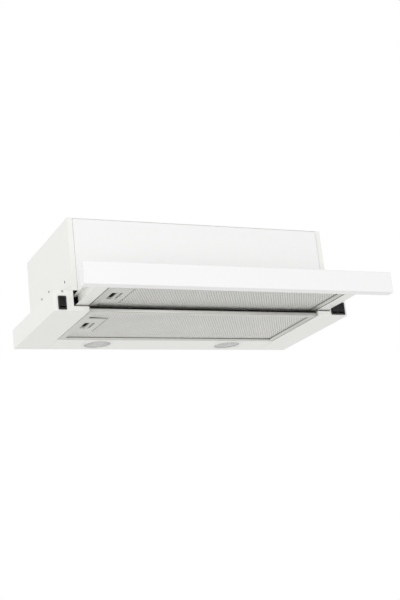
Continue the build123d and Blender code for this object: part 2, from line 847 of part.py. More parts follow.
# ---- Duct spigot with its two non-return flaps on one rod ----

rod_z = body_height + flap_height
spigot_bore = spigot_radius - spigot_wall
ledge_top = rod_z - flap_thickness / 2 - flap_lift
with BuildPart() as duct_spigot:
    with BuildSketch(Plane.XY.offset(body_height)):
        with Locations((0, spigot_y)):
            Circle(spigot_radius + spigot_flange)
            Circle(spigot_bore, mode=Mode.SUBTRACT)
    extrude(amount=spigot_flange_thickness)
    with BuildSketch(Plane.XY.offset(body_height)):
        with Locations((0, spigot_y)):
            Circle(spigot_radius)
            Circle(spigot_bore, mode=Mode.SUBTRACT)
    extrude(amount=spigot_height)
    with BuildSketch(Plane.XY.offset(ledge_top - flap_ledge_thickness)):
        with Locations((0, spigot_y)):
            Circle(spigot_bore)
            Circle(spigot_bore - flap_ledge, mode=Mode.SUBTRACT)
    extrude(amount=flap_ledge_thickness)
    with Locations(Location((0, spigot_y, rod_z), (90, 0, 0))):
        Cylinder(rod_radius + rod_play, 2 * spigot_radius, mode=Mode.SUBTRACT)
duct_spigot.part.label = "duct_spigot"
export_step(duct_spigot.part, "parts/duct_spigot.step")

with BuildPart() as flap_rod:
    with Locations(Location((0, spigot_y, rod_z), (90, 0, 0))):
        Cylinder(rod_radius, 2 * spigot_radius - spigot_wall)
flap_rod.part.label = "flap_rod"
export_step(flap_rod.part, "parts/flap_rod.step")

knuckle_reach = spigot_bore - flap_ledge - 2 * knuckle_radius
knuckle_pitch = 2 * knuckle_reach / knuckle_count
for side, sign in sides:
    # Each flap has every other knuckle
    own = [i for i in range(knuckle_count) if (i % 2 == 0) == (sign < 0)]
    with BuildPart() as flap:
        with BuildSketch(Plane.XY.offset(rod_z - flap_thickness / 2)):
            with Locations((0, spigot_y)):
                Circle(spigot_bore - flap_play)
            with Locations((-sign * (spigot_bore - knuckle_radius - knuckle_gap), spigot_y)):
                Rectangle(2 * spigot_bore, 2 * spigot_bore, mode=Mode.SUBTRACT)
        extrude(amount=flap_thickness)
        for i in own:
            knuckle_y = spigot_y - knuckle_reach + (i + 0.5) * knuckle_pitch
            knuckle_half = (knuckle_pitch - knuckle_gap) / 2
            block(
                (0, sign * (knuckle_radius + 2 * knuckle_gap)),
                (knuckle_y - knuckle_half, knuckle_y + knuckle_half),
                (rod_z - flap_thickness / 2, rod_z + flap_thickness / 2),
            )
            with Locations(Location((0, knuckle_y, rod_z), (90, 0, 0))):
                Cylinder(knuckle_radius, 2 * knuckle_half)
        with Locations(Location((0, spigot_y, rod_z), (90, 0, 0))):
            Cylinder(rod_radius + rod_play, 2 * spigot_radius, mode=Mode.SUBTRACT)
    flap.part.label = f"{side}_flap"
    export_step(flap.part, f"parts/{side}_flap.step")

# ---- Wiring: terminal box under the top panel and the cable gland above it ----

box_x, box_y, box_z = terminal_size
with BuildPart() as terminal_box:
    block(
        (terminal_x - box_x / 2, terminal_x + box_x / 2),
        (terminal_y - box_y / 2, terminal_y + box_y / 2),
        (panel_under - box_z + terminal_wall, panel_under),
    )
    block(
        (terminal_x - box_x / 2 + terminal_wall, terminal_x + box_x / 2 - terminal_wall),
        (terminal_y - box_y / 2 + terminal_wall, terminal_y + box_y / 2 - terminal_wall),
        (panel_under - box_z, panel_under - terminal_wall),
        Mode.SUBTRACT,
    )
    with Locations(Location((terminal_x, terminal_y, panel_under))):
        Hole(gland_stem_radius + gland_play, terminal_wall)
terminal_box.part.label = "terminal_box"
export_step(terminal_box.part, "parts/terminal_box.step")

with BuildPart() as terminal_lid:
    block(
        (terminal_x - box_x / 2, terminal_x + box_x / 2),
        (terminal_y - box_y / 2, terminal_y + box_y / 2),
        (panel_under - box_z, panel_under - box_z + terminal_wall),
    )
terminal_lid.part.label = "terminal_lid"
export_step(terminal_lid.part, "parts/terminal_lid.step")

gland_stem = sheet + terminal_wall + gland_flange
with BuildPart() as cable_gland:
    with Locations(Location((terminal_x, terminal_y, body_height))):
        Cylinder(gland_radius, gland_flange, align=(Align.CENTER, Align.CENTER, Align.MIN))
        Cylinder(gland_stem_radius, gland_stem, align=(Align.CENTER, Align.CENTER, Align.MAX))
    with Locations(Location((terminal_x, terminal_y, body_height + gland_flange))):
        Hole(gland_bore, gland_flange + gland_stem)
cable_gland.part.label = "cable_gland"
export_step(cable_gland.part, "parts/cable_gland.step")
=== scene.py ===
import json
import math

import bmesh
import bpy
import numpy as np
from mathutils import Matrix, Vector


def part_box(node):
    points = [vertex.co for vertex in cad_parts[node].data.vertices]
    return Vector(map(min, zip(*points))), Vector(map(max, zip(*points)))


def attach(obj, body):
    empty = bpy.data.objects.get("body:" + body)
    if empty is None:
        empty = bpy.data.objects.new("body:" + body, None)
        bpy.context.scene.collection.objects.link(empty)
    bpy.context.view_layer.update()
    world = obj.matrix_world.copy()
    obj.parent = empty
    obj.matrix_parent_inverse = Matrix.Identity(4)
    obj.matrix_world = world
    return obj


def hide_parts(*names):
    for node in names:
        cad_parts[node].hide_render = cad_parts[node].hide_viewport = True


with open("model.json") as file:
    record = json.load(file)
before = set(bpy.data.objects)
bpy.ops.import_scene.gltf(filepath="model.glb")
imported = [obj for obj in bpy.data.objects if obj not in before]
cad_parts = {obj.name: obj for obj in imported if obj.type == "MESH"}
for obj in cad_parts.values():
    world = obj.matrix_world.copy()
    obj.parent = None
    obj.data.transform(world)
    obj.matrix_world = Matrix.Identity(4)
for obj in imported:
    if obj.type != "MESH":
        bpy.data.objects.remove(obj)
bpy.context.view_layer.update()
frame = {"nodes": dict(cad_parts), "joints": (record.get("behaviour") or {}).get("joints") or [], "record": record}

# The looks of a telescopic cooker hood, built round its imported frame.
# Metres: +X is the hood's right, +Y its back, +Z up, and the origin is on top of the two ears.
mm = 0.001
record = frame["record"]
bodyOfNode = {node: body for body, nodes in record["behaviour"]["bodies"].items() for node in nodes}
slotOfNode = {part["node"]: part["material_slot"] for part in record["subparts"]}
print("frame loaded:", len(frame["nodes"]), "nodes")


def linearFromHex(text):
    # sRGB to linear: c / 12.92 up to 0.04045, and ((c + 0.055) / 1.055) to the power 2.4 above it
    channels = np.array([int(text[i:i + 2], 16) for i in (0, 2, 4)]) / 255
    linear = np.where(channels > 0.04045, ((channels + 0.055) / 1.055) ** 2.4, channels / 12.92)
    return (*linear.tolist(), 1.0)


def addNode(tree, kind, settings=None, sockets=None):
    # Adds one shader node with its own settings; a socket takes a value or the output that feeds it
    made = tree.nodes.new("ShaderNode" + kind)
    for name, value in (settings or {}).items():
        setattr(made, name, value)
    for name, value in (sockets or {}).items():
        if isinstance(value, bpy.types.NodeSocket):
            tree.links.new(value, made.inputs[name])
        else:
            made.inputs[name].default_value = value
    return made


def startMaterial(name, sockets):
    # An empty material with its shader, and the object coordinates that every pattern reads
    made = bpy.data.materials.new(name)
    made.use_nodes = True
    tree = made.node_tree
    tree.nodes.clear()
    shader = addNode(tree, "BsdfPrincipled", sockets=sockets)
    addNode(tree, "OutputMaterial", sockets={"Surface": shader.outputs["BSDF"]})
    return made, tree, shader, addNode(tree, "TexCoord").outputs["Object"]


def grained(name, look, sockets=None):
    # Colour, roughness and relief follow one noise: grains of look["grain"] mm, drawn out by look["stretch"]
    made, tree, shader, place = startMaterial(name, {"Metallic": look.get("metal", 0.0), **(sockets or {})})
    perMetre = tuple(1 / (look["grain"] * mm * s) for s in look.get("stretch", (1, 1, 1)))
    scaled = addNode(tree, "Mapping", sockets={"Vector": place, "Scale": perMetre})
    noise = addNode(tree, "TexNoise", sockets={
        "Vector": scaled.outputs["Vector"], "Scale": 1.0, "Detail": look.get("detail", 3.0), "Roughness": 0.6,
    }).outputs["Fac"]
    rough = addNode(tree, "MapRange", sockets={
        "Value": noise, "From Min": 0.3, "From Max": 0.7,
        "To Min": look["rough"][0], "To Max": look["rough"][1],
    })
    cloud = addNode(tree, "TexNoise", sockets={"Vector": place, "Scale": 1 / (look.get("cloud", 60) * mm)})
    colour = addNode(tree, "MixRGB", sockets={
        "Fac": cloud.outputs["Fac"],
        "Color1": linearFromHex(look["colours"][0]),
        "Color2": linearFromHex(look["colours"][1]),
    })
    bump = addNode(tree, "Bump", sockets={"Height": noise, "Distance": look["relief"] * mm, "Strength": 1.0})
    tree.links.new(rough.outputs["Result"], shader.inputs["Roughness"])
    tree.links.new(colour.outputs["Color"], shader.inputs["Base Color"])
    tree.links.new(bump.outputs["Normal"], shader.inputs["Normal"])
    return made


def powderCoat():
    # Polyester powder baked on steel: a warm glossy white whose faint orange peel breaks up reflections
    return grained("powderCoatedSteel", {
        "colours": ("f5f5f1", "f2f2ee"), "grain": 3.0, "rough": (0.28, 0.36), "relief": 0.012, "cloud": 140,
    }, {"IOR": 1.5, "Coat Weight": 0.25, "Coat Roughness": 0.12})


def frontPaint():
    # The same powder on the two front panels, a little whiter and more neutral, with a smoother flow
    return grained("whiterCoatedSteel", {
        "colours": ("f7f7f7", "f4f4f4"), "grain": 4.0, "rough": (0.2, 0.28), "relief": 0.008, "cloud": 160,
    }, {"IOR": 1.5, "Coat Weight": 0.35, "Coat Roughness": 0.06})


def whiteAbs():
    # Injection-moulded ABS: a neutral white, softer than the paint beside it
    return grained("mouldedWhiteAbs", {
        "colours": ("f2f2f0", "efefec"), "grain": 1.2, "rough": (0.34, 0.44), "relief": 0.006,
    }, {"IOR": 1.53})


def blackAbs():
    # Spark-eroded ABS: black with a fine grain that keeps it dull
    return grained("mouldedBlackAbs", {
        "colours": ("191919", "1d1d1d"), "grain": 0.5, "rough": (0.45, 0.6), "relief": 0.03,
    }, {"IOR": 1.53})


def rockerAbs():
    # Black ABS from a lapped mould: deep black with one soft sheen over its dished face
    return grained("polishedBlackAbs", {
        "colours": ("0a0a0a", "0e0e0e"), "grain": 2.0, "rough": (0.3, 0.4), "relief": 0.004,
    }, {"IOR": 1.45, "Specular IOR Level": 0.3})


def rolledAluminium():
    # Cold-rolled foil folded into channels: satin grey with fine lines along the strip
    return grained("rolledAluminium", {
        "metal": 0.85, "colours": ("e4e4e0", "ddddd8"), "grain": 0.8, "stretch": (30, 30, 1),
        "rough": (0.5, 0.6), "relief": 0.006,
    })


def perforatedAluminium():
    # Punched and washed aluminium sheet: olive grey, duller than the frame, with a burr round each hole
    return grained("perforatedAluminium", {
        "metal": 0.8, "colours": ("f0f0ed", "e8e8e4"), "grain": 1.6, "rough": (0.5, 0.62), "relief": 0.02,
        "cloud": 45,
    })


def expandedFoil():
    # Layers of slit and stretched foil behind the sheet: the sheet's grey darkened as painted shade seen through
    # the holes, crossed by its own strands
    made, tree, shader, place = startMaterial("expandedFoil", {
        "Metallic": 0.6, "Base Color": linearFromHex("a6a7a0"), "Roughness": 0.55,
    })
    strands = [
        addNode(tree, "TexWave", {"bands_direction": direction}, {
            "Vector": place, "Scale": 1 / (3.5 * mm) / 20, "Distortion": 2.0, "Detail": 1.0,
        }).outputs["Fac"]
        for direction in ("X", "Y")
    ]
    crossed = addNode(tree, "Math", {"operation": "MULTIPLY"})
    tree.links.new(strands[0], crossed.inputs[0])
    tree.links.new(strands[1], crossed.inputs[1])
    bump = addNode(tree, "Bump", sockets={"Height": crossed.outputs[0], "Distance": 0.4 * mm})
    tree.links.new(bump.outputs["Normal"], shader.inputs["Normal"])
    return made


def pressedAluminium():
    # Pressed plate: a little brighter than the perforated sheet, with the die's faint drag marks
    return grained("pressedAluminium", {
        "metal": 0.8, "colours": ("e4e4e1", "dcdcd8"), "grain": 1.0, "stretch": (1, 14, 1),
        "rough": (0.5, 0.6), "relief": 0.012,
    })


def paleNylon():
    # Moulded glass-filled nylon, pale grey and slightly waxy
    return grained("mouldedGreyNylon", {
        "colours": ("d3d3cc", "cbcbc4"), "grain": 0.8, "rough": (0.4, 0.52), "relief": 0.012,
    }, {"IOR": 1.53})


def blackNylonAndPaintedShade():
    # Black nylon glides, their black also painted shade for the dark gap beside the ear, and the channel band,
    # cords, strip and block of painted shade in the same dead black: no sheen even at a low angle
    return grained("blackNylonAndPaintedShade", {
        "colours": ("0c0c0c", "101010"), "grain": 1.0, "rough": (0.75, 0.85), "relief": 0.008,
    }, {"IOR": 1.45, "Specular IOR Level": 0.12})


def frostedGlass():
    # Pressed lamp glass, lightly etched inside: the bright bowl and the capsule show through it, blurred
    made, tree, shader, place = startMaterial("frostedLampGlass", {
        "Base Color": linearFromHex("fafaf8"), "IOR": 1.5, "Transmission Weight": 0.7, "Roughness": 0.15,
    })
    stipple = addNode(tree, "TexVoronoi", sockets={"Vector": place, "Scale": 1 / (1.6 * mm)})
    bump = addNode(tree, "Bump", sockets={"Height": stipple.outputs["Distance"], "Distance": 0.015 * mm})
    tree.links.new(bump.outputs["Normal"], shader.inputs["Normal"])
    return made


def frostedCapsule():
    # Halogen capsule, acid-frosted: milky white
    return grained("frostedCapsule", {
        "colours": ("f6f6f4", "f0f0ee"), "grain": 0.3, "rough": (0.4, 0.5), "relief": 0.004,
    }, {"IOR": 1.5, "Subsurface Weight": 0.3, "Subsurface Scale": 2 * mm})


def polishedReflector():
    # Anodised spun aluminium: bright, with the lathe's fine rings
    return grained("spunReflector", {
        "metal": 1.0, "colours": ("f2f3f2", "ebecea"), "grain": 0.4, "stretch": (6, 6, 1),
        "rough": (0.1, 0.2), "relief": 0.003,
    })


def zincPlate():
    # Zinc-plated steel screws and rods: pale blue-grey metal, slightly cloudy
    return grained("zincPlatedSteel", {
        "metal": 1.0, "colours": ("b9bcbd", "a8abad"), "grain": 0.6, "rough": (0.26, 0.4), "relief": 0.006,
        "cloud": 8,
    })


def galvanisedSheet():
    # Hot-dip galvanised sheet: spangles about 9 mm across, each with its own grey and gloss
    made, tree, shader, place = startMaterial("galvanisedSteel", {"Metallic": 1.0})
    spangle = addNode(tree, "TexVoronoi", sockets={"Vector": place, "Scale": 1 / (9 * mm)})
    grey = addNode(tree, "MixRGB", sockets={
        "Fac": spangle.outputs["Color"], "Color1": linearFromHex("a3a7aa"), "Color2": linearFromHex("bfc3c6"),
    })
    rough = addNode(tree, "MapRange", sockets={
        "Value": spangle.outputs["Color"], "To Min": 0.28, "To Max": 0.5,
    })
    tree.links.new(grey.outputs["Color"], shader.inputs["Base Color"])
    tree.links.new(rough.outputs["Result"], shader.inputs["Roughness"])
    return made


def blackPolypropylene():
    # Moulded polypropylene: soft black with a waxy bloom
    return grained("mouldedPolypropylene", {
        "colours": ("232324", "2a2a2b"), "grain": 0.9, "rough": (0.42, 0.56), "relief": 0.02,
    }, {"IOR": 1.49})


def flapPlastic():
    # Thin moulded flap, a shade lighter than the collar it shuts
    return grained("mouldedFlap", {
        "colours": ("2f3031", "353637"), "grain": 1.4, "rough": (0.38, 0.5), "relief": 0.015,
    }, {"IOR": 1.5})


def motorSteel():
    # Deep-drawn motor can: steel drawn along its axis, lightly oiled
    return grained("drawnMotorSteel", {
        "metal": 1.0, "colours": ("85888b", "777a7d"), "grain": 0.7, "stretch": (12, 1, 1),
        "rough": (0.28, 0.42), "relief": 0.01,
    })


materialOfSlot = {
    "white_enamel": powderCoat(), "white_plastic": whiteAbs(), "black_plastic": blackAbs(),
    "rocker_plastic": rockerAbs(), "filter_aluminium": rolledAluminium(),
    "filter_mesh": perforatedAluminium(),
    "latch_aluminium": pressedAluminium(), "latch_plastic": paleNylon(), "lamp_glass": frostedGlass(),
    "reflector": polishedReflector(), "zinc_steel": zincPlate(), "galvanised_steel": galvanisedSheet(),
    "nylon": blackNylonAndPaintedShade(), "blower_plastic": blackPolypropylene(), "flap_plastic": flapPlastic(),
    "motor_steel": motorSteel(),
}
foilInPaintedShade = expandedFoil()
frontMaterial = frontPaint()
lampMaterial = frostedCapsule()
print("materials made:", len(materialOfSlot) + 3)


def gridFaces(rows, columns, ring=False):
    # Corner numbers of the quads of a rows x columns grid; a ring joins the last column to the first
    r, c = np.meshgrid(np.arange(rows - 1), np.arange(columns if ring else columns - 1), indexing="ij")
    after = (c + 1) % columns
    corners = (r * columns + c, (r + 1) * columns + c, (r + 1) * columns + after, r * columns + after)
    return np.stack(corners, -1).reshape(-1, 4)


def meshFrom(name, points, faces):
    # Points are n x 3 metres, faces m x k corner numbers
    mesh = bpy.data.meshes.new(name)
    points = np.asarray(points, np.float32)
    faces = np.asarray(faces, np.int32)
    mesh.vertices.add(len(points))
    mesh.vertices.foreach_set("co", points.ravel())
    mesh.loops.add(faces.size)
    mesh.loops.foreach_set("vertex_index", faces.ravel())
    mesh.polygons.add(len(faces))
    mesh.polygons.foreach_set("loop_start", np.arange(0, faces.size, faces.shape[1], dtype=np.int32))
    mesh.update(calc_edges=True)
    mesh.validate()
    return mesh


def sealMesh(mesh, turn=True):
    # Merges doubled corners, drops what they leave flat and, on a closed shape, turns its faces outwards
    work = bmesh.new()
    work.from_mesh(mesh)
    bmesh.ops.remove_doubles(work, verts=work.verts, dist=0.002 * mm)
    bmesh.ops.dissolve_degenerate(work, edges=work.edges, dist=0.001 * mm)
    if turn:
        bmesh.ops.recalc_face_normals(work, faces=work.faces)
    work.to_mesh(mesh)
    work.free()


def addPiece(name, mesh, node, material=None, replaced=(), sharp=35, slot=None):
    # Puts a finished mesh on its CAD node's body, with that node's slot and material or the given ones
    slot = slot or slotOfNode[node]
    mesh.shade_smooth()
    mesh.set_sharp_from_angle(angle=math.radians(sharp))
    mesh.materials.clear()
    mesh.materials.append(material or materialOfSlot[slot])
    piece = bpy.data.objects.new(name, mesh)
    bpy.context.scene.collection.objects.link(piece)
    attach(piece, bodyOfNode[node])
    if replaced:
        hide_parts(*replaced)
    return piece


def roundEdges(piece, width, segments=2):
    # Rolls every edge that carries a bevel weight over a radius of width mm
    bevel = piece.modifiers.new("roundedEdges", "BEVEL")
    bevel.width = width * mm
    bevel.segments = segments
    bevel.limit_method = "WEIGHT"
    bevel.harden_normals = True


def weighEdges(work, sharpest=30):
    # Outer edges sharper than this many degrees are rounded; inner corners stay, so nothing moving rubs there
    weight = work.edges.layers.float.new("bevel_weight_edge")
    for edge in work.edges:
        folded = len(edge.link_faces) == 2 and edge.calc_face_angle(0) > math.radians(sharpest)
        edge[weight] = 1.0 if folded and edge.is_convex else 0.0


def thicken(piece, wall):
    # Gives a sheet its thickness, inwards from the face that shows
    solid = piece.modifiers.new("sheetThickness", "SOLIDIFY")
    solid.thickness = wall * mm
    solid.offset = -1.0
    solid.use_even_offset = True


def turnedMesh(name, profile, middle, segments=96, closed=True):
    # A profile of (radius, height) mm carried round the vertical through middle: x = r cos a, y = r sin a
    loop = np.array(list(profile) + ([profile[0]] if closed else []), float) * mm
    angle = np.arange(segments) * 2 * math.pi / segments
    points = np.stack([
        middle[0] + loop[:, :1] * np.cos(angle),
        middle[1] + loop[:, :1] * np.sin(angle),
        middle[2] + np.repeat(loop[:, 1:], segments, 1),
    ], -1)
    mesh = meshFrom(name, points.reshape(-1, 3), gridFaces(len(loop), segments, ring=True))
    sealMesh(mesh)
    return mesh


def arcPoints(middle, radius, start, end, steps=6):
    # Points on an arc, from angle start to angle end in degrees
    angle = np.radians(np.linspace(start, end, steps))
    return [(middle[0] + radius * math.cos(a), middle[1] + radius * math.sin(a)) for a in angle]


def smoothStep(value):
    # 3t^2 - 2t^3 between 0 and 1
    t = np.clip(value, 0, 1)
    return t * t * (3 - 2 * t)


def roundedBoxDistance(x, y, halfX, halfY, corner):
    # Distance outside a rectangle with rounded corners, negative inside it
    dx, dy = np.abs(x) - halfX + corner, np.abs(y) - halfY + corner
    outside = np.hypot(np.maximum(dx, 0), np.maximum(dy, 0))
    return outside + np.minimum(np.maximum(dx, dy), 0) - corner


# Radius in mm that each shape's edges are rolled or moulded to
edgeRadius = {
    "visor": 0.55, "front_fascia": 0.45, "rear_panel": 0.3, "top_panel": 0.45,
    "left_side_panel": 0.45, "right_side_panel": 0.45, "left_skirt": 0.45, "right_skirt": 0.45,
    "lamp_panel": 0.45,
    "tray_left_runner": 0.4, "tray_right_runner": 0.4, "tray_front_member": 0.4, "tray_rear_member": 0.4,
    "tray_cover": 0.4, "left_slide_rail": 0.4, "right_slide_rail": 0.4,
    "front_glides": 0.8, "rear_glides": 0.8,
    "left_switch_housing": 0.4, "right_switch_housing": 0.4,
    "light_rocker": 0.7, "fan_rocker": 0.7, "speed_rocker": 0.7,
    "tray_latch_lever": 0.6, "fixed_latch_lever": 0.6,
    "duct_spigot": 0.5, "left_flap": 0.4, "right_flap": 0.4, "cable_gland": 0.6, "blower_housing": 0.5,
    "motor_bracket": 0.4, "terminal_box": 0.6, "terminal_lid": 0.6,
}


def roundedCopy(node, radius, cutY=None):
    # A welded copy of a CAD node, flat faces whole again, with its edges rounded; cutY divides its faces
    mesh = bpy.data.meshes.new(node + "_rounded")
    work = bmesh.new()
    work.from_mesh(frame["nodes"][node].data)
    bmesh.ops.remove_doubles(work, verts=work.verts, dist=0.002 * mm)
    bmesh.ops.dissolve_limit(work, angle_limit=math.radians(0.2), verts=work.verts, edges=work.edges)
    if cutY is not None:
        everything = [*work.verts, *work.edges, *work.faces]
        bmesh.ops.bisect_plane(work, geom=everything, plane_co=(0, cutY, 0), plane_no=(0, 1, 0))
    weighEdges(work)
    work.to_mesh(mesh)
    work.free()
    paint = frontMaterial if node in ("visor", "front_fascia") else None
    piece = addPiece(node + "_rounded", mesh, node, material=paint, replaced=(node,))
    roundEdges(piece, radius)
    return piece


# A black band in the runner's outer channel, painted shade for the shaded gap beside the ear, in mm: how far
# behind the casing's front it starts with the tray out, how far inside the runner's edge it may lie, and the walls
# above and below it that it leaves bare
paintedShadeTapeSettings = {"start": 7.0, "reach": 8.0, "wall": 1.0}
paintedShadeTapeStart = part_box("front_fascia")[0].y + paintedShadeTapeSettings["start"] * mm


def paintShadeInChannel(piece, node):
    # The faces inside the runner's outer channel are made black: painted shade
    low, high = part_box(node)
    wall = paintedShadeTapeSettings["wall"] * mm
    outside = -1 if low.x < 0 else 1
    edge = high.x if outside > 0 else -low.x
    piece.data.materials.append(materialOfSlot["nylon"])
    for face in piece.data.polygons:
        inside = low.z + wall < face.center.z < high.z - wall
        near = face.normal.x * outside > 0.5 and face.center.x * outside > edge - paintedShadeTapeSettings["reach"] * mm
        if inside and near and face.center.y > paintedShadeTapeStart:
            face.material_index = 1


for node, radius in edgeRadius.items():
    getsPaintedShade = node in ("tray_left_runner", "tray_right_runner")
    piece = roundedCopy(node, radius, paintedShadeTapeStart if getsPaintedShade else None)
    if getsPaintedShade:
        paintShadeInChannel(piece, node)
for node in ("flap_rod", "motor_shaft", "motor", "motor_capacitor", "impeller", "visor_screws"):
    shown = frame["nodes"][node].data.materials
    shown.clear()
    shown.append(materialOfSlot[slotOfNode[node]])
print("sheets and mouldings rounded:", len(edgeRadius))


filterSettings = {
    "rim": 12.0,           # width of the rolled frame, mm
    "foil": 0.5,           # its thickness
    "bend": 1.5,           # its outer bend radius
    "lip": 1.7,            # how far its inner edge turns in
    "mitreGap": 0.25,
    "sideGap": 1.0,        # beside the frame, where it drops past the runners
    "pitch": 5.0,          # from hole to hole, staggered
    "hole": 1.4,           # radius
    "sheet": 0.5,
    "edgeDepth": 2.6,      # of the sheet behind the frame's face, at the frame
    "bulge": 1.4,          # how much less in the middle
    "coreDepth": 4.2,
    "coreWave": 0.5,
    "coreStrand": 6.0,
    "coreSheet": 0.4,      # the foil's thickness where its ripples cross
    "slit": 1.7,           # opening in front of the latch plate
    "under": 6.0,          # how far the sheet reaches under the frame
}


def frameMesh(name, low, high, sizes):
    # A channel section carried along the four sides of the rectangle and cut at 45 degrees:
    # point = middle of side + inwards * d + along * (+/-(half length - d)), at height h above the face
    rim, bend, lip = sizes["rim"], sizes["bend"], sizes["lip"]
    tall = (high[2] - low[2]) / mm
    section = np.array(
        [(rim - lip * 0.35, lip)]
        + arcPoints((rim - lip * 0.6, lip * 0.6), lip * 0.6, 0, -90)
        + arcPoints((bend, bend), bend, -90, -180)
        + arcPoints((bend, tall - bend), bend, 180, 90)
        + [(rim, tall)]
    ) * mm
    middle, half = (low[:2] + high[:2]) / 2, (high[:2] - low[:2]) / 2
    points, faces = [], []
    for side, inwards in enumerate(((0, 1), (-1, 0), (0, -1), (1, 0))):
        inwards = np.array(inwards, float)
        along = np.array((inwards[1], -inwards[0]))
        reach, length = half @ np.abs(inwards), half @ np.abs(along)
        for end in (-1, 1):
            run = end * (length - section[:, :1] - sizes["mitreGap"] * mm / 2)
            plan = middle - inwards * reach + inwards * section[:, :1] + along * run
            points.append(np.hstack([plan, low[2] + section[:, 1:]]))
        faces.append(gridFaces(2, len(section)) + side * 2 * len(section))
    return meshFrom(name, np.vstack(points), np.vstack(faces))


def skinHeight(x, y, low, high, sizes, facing):
    # The sheet is pillowed: edgeDepth at the frame, less bulge in the middle, by (1 - u^6)(1 - v^4)
    u = (x - (low[0] + high[0]) / 2) / ((high[0] - low[0]) / 2 - sizes["rim"] * mm)
    v = (y - (low[1] + high[1]) / 2) / ((high[1] - low[1]) / 2 - sizes["rim"] * mm)
    swell = np.clip(1 - u ** 6, 0, 1) * np.clip(1 - v ** 4, 0, 1)
    depth = (sizes["edgeDepth"] - sizes["bulge"] * swell) * mm
    return low[2] + depth if facing < 0 else high[2] - depth


def perforatedMesh(name, low, high, sizes, facing, gap=None):
    # Hexagonal cells on a staggered lattice, each with a hexagonal hole. Corner k of cell (i, j) stands at
    # angle 60 k + 30: on the cell's edge at pitch / sqrt(3), and on the hole's edge at its radius.
    pitch, reach = sizes["pitch"] * mm, (sizes["rim"] - sizes["under"]) * mm
    row = pitch * math.sqrt(3) / 2
    size = high - low - 2 * reach
    columns, rows = int(size[0] / pitch), int(size[1] / row)
    j, i = np.meshgrid(np.arange(rows), np.arange(columns), indexing="ij")
    cx = (i + (j % 2) / 2 - (columns - 0.5) / 2) * pitch + (low[0] + high[0]) / 2
    cy = (j - (rows - 1) / 2) * row + (low[1] + high[1]) / 2
    keep = np.ones(cx.shape, bool)
    if gap is not None:
        keep = ~((cx > gap[0]) & (cx < gap[1]) & (cy > gap[2]) & (cy < gap[3]))
    cx, cy = cx[keep][:, None], cy[keep][:, None]
    angle = np.radians(60 * np.arange(6) + 30)
    outerRadius, innerRadius = pitch / math.sqrt(3), sizes["hole"] * mm
    x = np.hstack([cx + outerRadius * np.cos(angle), cx + innerRadius * np.cos(angle)])
    y = np.hstack([cy + outerRadius * np.sin(angle), cy + innerRadius * np.sin(angle)])
    points = np.stack([x, y, skinHeight(x, y, low, high, sizes, facing)], -1).reshape(-1, 3)
    k = np.arange(6)
    quad = np.stack([k, k + 6, (k + 1) % 6 + 6, (k + 1) % 6], -1)
    if facing > 0:
        quad = quad[:, ::-1]
    faces = (np.arange(len(cx))[:, None, None] * 12 + quad).reshape(-1, 4)
    mesh = meshFrom(name, points, faces)
    sealMesh(mesh, turn=False)
    return mesh


def coreMesh(name, low, high, sizes, gap):
    # Crossed ripples: z = a sin(kx) sin(ky), kept out of the latch plate's gap
    step, reach = sizes["coreStrand"] * mm / 4, (sizes["rim"] - sizes["under"]) * mm
    x = np.arange(low[0] + reach, high[0] - reach, step)
    y = np.arange(low[1] + reach, high[1] - reach, step)
    gx, gy = np.meshgrid(x, y, indexing="ij")
    turn = 2 * math.pi / (sizes["coreStrand"] * mm)
    gz = low[2] + (sizes["coreDepth"] + sizes["coreWave"] * np.sin(turn * gx) * np.sin(turn * gy)) * mm
    faces = gridFaces(len(x), len(y))
    middle = np.stack([gx, gy], -1).reshape(-1, 2)[faces].mean(1)
    x, y = middle[:, 0], middle[:, 1]
    inside = (x > gap[0]) & (x < gap[1]) & (y > gap[2]) & (y < gap[3])
    return meshFrom(name, np.stack([gx, gy, gz], -1).reshape(-1, 3), faces[~inside][:, ::-1])


latchSettings = {
    "sheet": 0.8,          # mm
    "corner": 2.5,         # radius of the pocket's corners
    "wallSlope": 0.5,      # across the pocket's wall
    "bead": 0.3,           # height of the pressed bead round the pocket
    "beadWidth": 1.6,
    "turnIn": 0.7,         # how far the plate's own edge turns in
    "leverPlay": 0.6,
    "pocketWidth": 19.5,
    "pocketDepth": 6.4,
    "rivet": 2.0,
    "rivetInset": 6.5,
    "rivetRise": 0.7,
    "rivetSink": 0.3,
    "shadeBlockWidth": 4.2,     # of the black block beside the lever, painted shade in the pocket
    "shadeBlockInset": 3.0,     # from the pocket's front and back
    "shadeBlockDepth": 1.8,     # behind the plate's face
    "shadeBlockRoof": 2.4,      # from its back to the pocket's
    "shadeBlockSink": 0.1,
    "shadeBlockSteps": 24,
    "leverWidth": 6.0,
}


def pocketOf(which):
    # Middle and half size of the fingertip pocket, from the lever that slides in it
    leverLow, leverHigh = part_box(f"{which}_latch_lever")
    slide = next(j for j in frame["joints"] if j["name"] == f"{which}_latch_slide")["range_m"][1]
    right = leverHigh.x + slide + latchSettings["leverPlay"] * mm
    halfX = latchSettings["pocketWidth"] * mm / 2
    halfY = (leverHigh.y - leverLow.y) / 2 + latchSettings["leverPlay"] * mm
    return right - halfX, (leverLow.y + leverHigh.y) / 2, halfX, halfY


